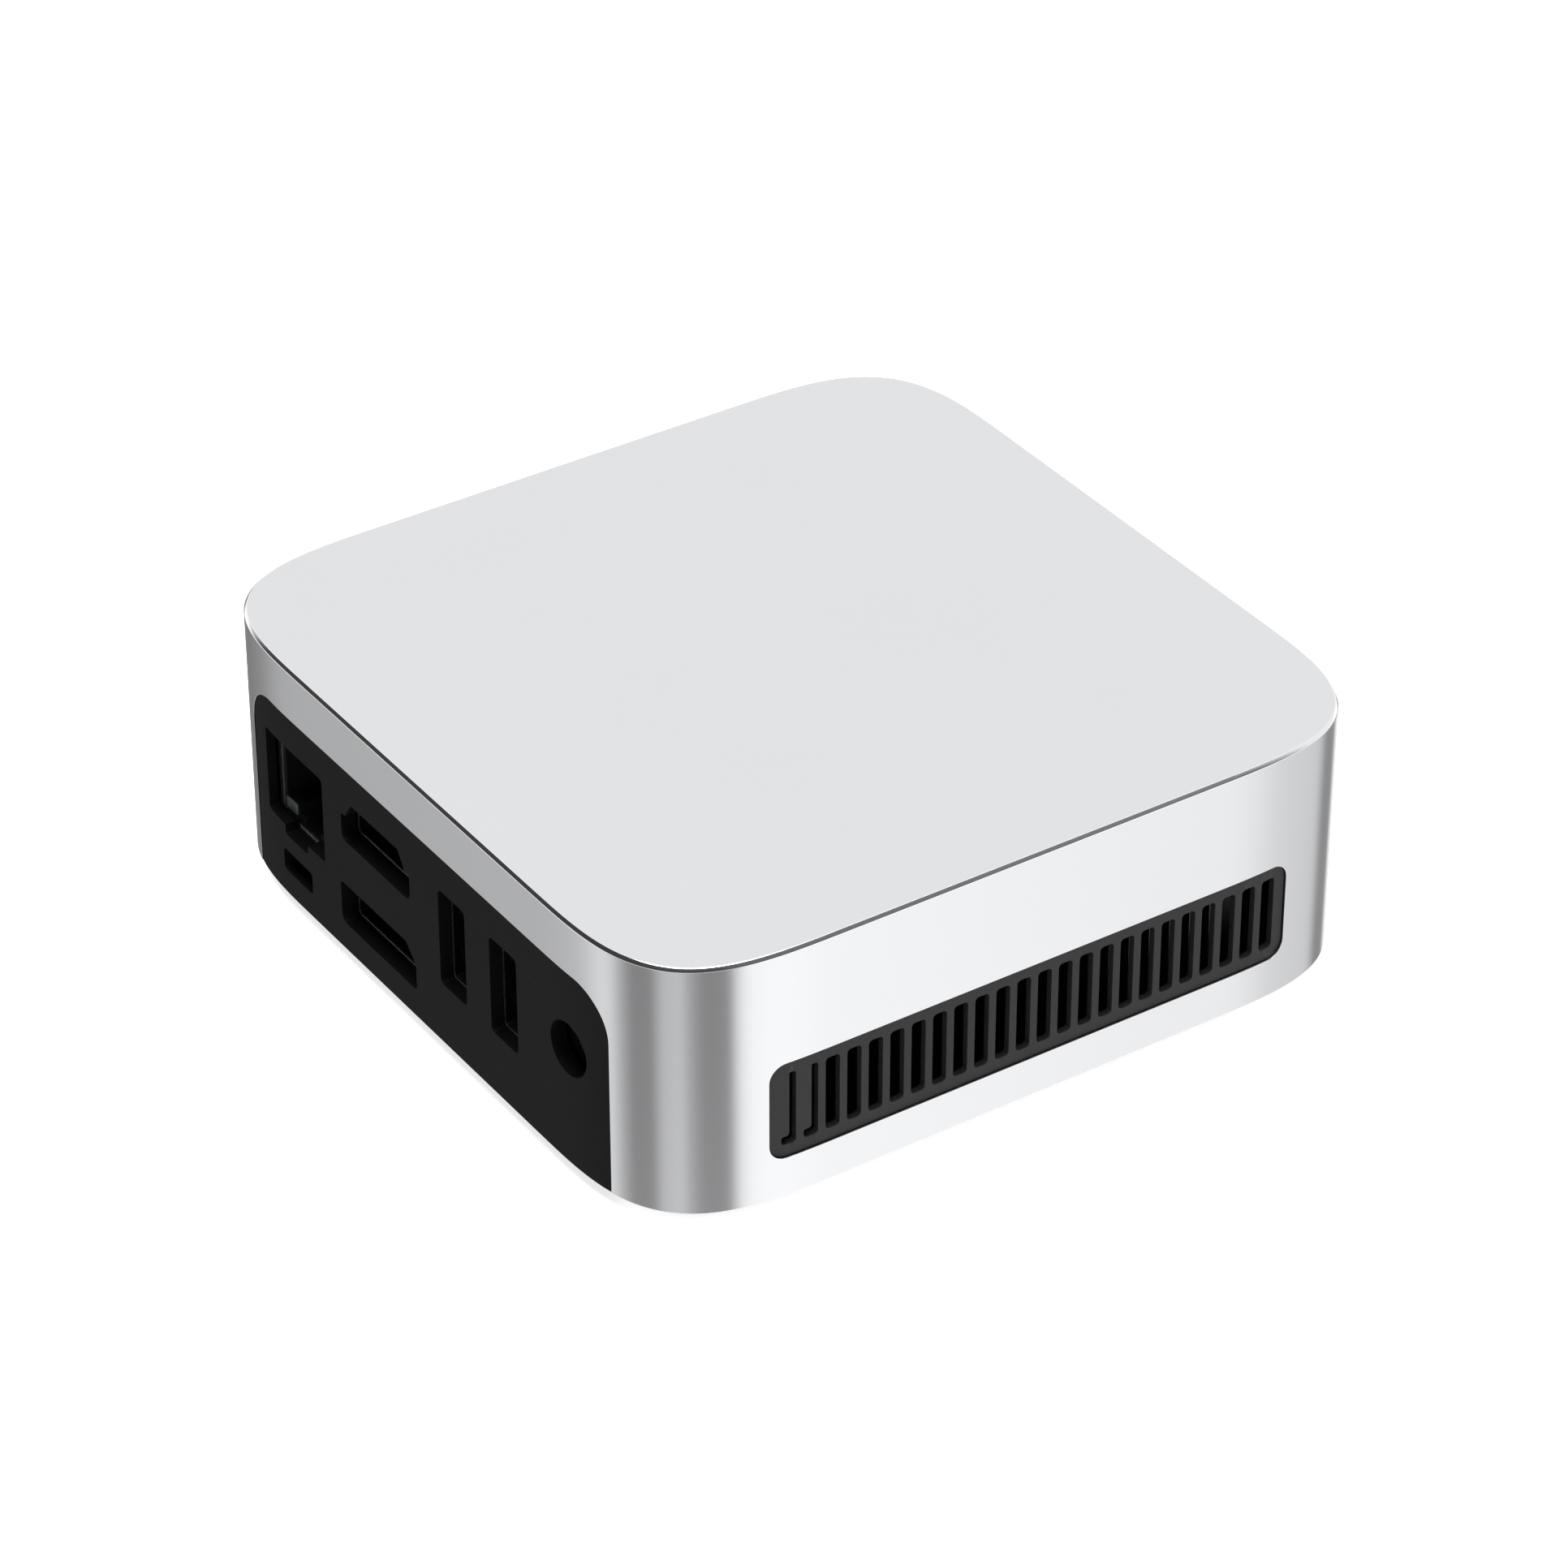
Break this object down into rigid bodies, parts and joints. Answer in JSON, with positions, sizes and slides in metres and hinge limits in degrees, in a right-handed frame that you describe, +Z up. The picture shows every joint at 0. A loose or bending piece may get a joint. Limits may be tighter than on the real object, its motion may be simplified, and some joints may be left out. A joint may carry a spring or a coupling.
{
  "type": "mini pc",
  "caption": "Low square desktop computer with rounded corners, a metal housing, a dark rear port panel, side vent grilles and a cooler, board and cards inside.",
  "frame": {"origin": "middle of the footprint at the bottom of the rubber feet", "axes": "+Z up, +Y out of the rear port panel, -Y out of the front with the power button"},
  "size_m": [0.103, 0.103, 0.036],
  "materials": {
    "anodised_aluminium": "bead-blasted satin anodised, polished chamfers",
    "panel_plastic": "fine moulded matt black",
    "grille_plastic": "smooth dark grey",
    "cover_plastic": "fine moulded texture",
    "foot_rubber": "soft matt",
    "screw_steel": "zinc plated",
    "brass": "turned",
    "circuit_board": "solder resist over copper tracks",
    "card_board": "solder resist over copper tracks",
    "component_black": "moulded epoxy",
    "processor_package": "laminate with a bare die",
    "thermal_compound": "soft pad",
    "heat_sink_metal": "extruded fins",
    "fan_plastic": "glass-filled plastic",
    "cable_jacket": "insulated lead",
    "connector_ivory": "moulded plastic",
    "connector_black": "moulded plastic with gold strips",
    "antenna_film": "flexible printed film",
    "shell_metal": "nickel plated sheet",
    "contact_gold": "gold plated",
    "clear_plastic": "clear moulded rod"
  },
  "bodies": {
    "chassis": {"housing": "anodised_aluminium", "rear_panel": "panel_plastic", "side_grille_left": "grille_plastic", "side_grille_right": "grille_plastic", "bottom_cover": "cover_plastic", "rubber_feet": "foot_rubber", "cover_screws": "screw_steel", "standoffs": "brass", "bracket_inserts": "brass", "lock_plate": "screw_steel", "motherboard": "circuit_board", "board_components": "component_black", "processor": "processor_package", "thermal_paste": "thermal_compound", "heat_sink": "heat_sink_metal", "heat_sink_screws": "screw_steel", "fan_frame": "fan_plastic", "fan_screws": "screw_steel", "fan_cable": "cable_jacket", "fan_connector": "connector_ivory", "memory_socket": "connector_black", "memory_module": "card_board", "ssd_socket": "connector_black", "ssd_card": "card_board", "ssd_nut": "brass", "ssd_screw": "screw_steel", "ssd_thermal_pad": "thermal_compound", "wifi_socket": "connector_black", "wifi_card": "card_board", "wifi_nut": "brass", "wifi_screw": "screw_steel", "antennas": "antenna_film", "antenna_leads": "cable_jacket", "battery_holder": "connector_black", "coin_battery": "shell_metal", "network_jack": "shell_metal", "network_contacts": "contact_gold", "video_housing": "connector_black", "video_shell_upper": "shell_metal", "video_tongue_upper": "connector_black", "video_shell_lower": "shell_metal", "video_tongue_lower": "connector_black", "usb_rear_shells": "shell_metal", "usb_rear_tongues": "connector_black", "power_jack": "connector_black", "power_pin": "shell_metal", "usb_front_shells": "shell_metal", "usb_front_tongues": "connector_black", "audio_jack": "connector_black", "power_switch": "connector_black", "light_pipe": "clear_plastic"},
    "power_button": {"power_button": "anodised_aluminium"},
    "fan_rotor": {"fan_rotor": "fan_plastic"},
    "latch_left": {"memory_latch_left": "shell_metal"},
    "latch_right": {"memory_latch_right": "shell_metal"}
  },
  "joints": [
    {"name": "power_button_press", "type": "slide", "parent": "chassis", "child": "power_button", "axis": [0, 1, 0], "range_m": [0, 0.0006], "stiffness_N_per_m": 2000, "springref_m": -0.0005},
    {"name": "fan_spin", "type": "hinge", "parent": "chassis", "child": "fan_rotor", "pos_m": [0, -0.002, 0.0087], "axis": [0, 0, 1], "continuous": true},
    {"name": "latch_left_open", "type": "hinge", "parent": "chassis", "child": "latch_left", "pos_m": [-0.0354, -0.037, 0.0291], "axis": [0, 0, 1], "range_deg": [0, 10], "stiffness_Nm_per_rad": 0.05, "springref_deg": -2.86},
    {"name": "latch_right_open", "type": "hinge", "parent": "chassis", "child": "latch_right", "pos_m": [0.0354, -0.037, 0.0291], "axis": [0, 0, -1], "range_deg": [0, 10], "stiffness_Nm_per_rad": 0.05, "springref_deg": -2.86}
  ]
}
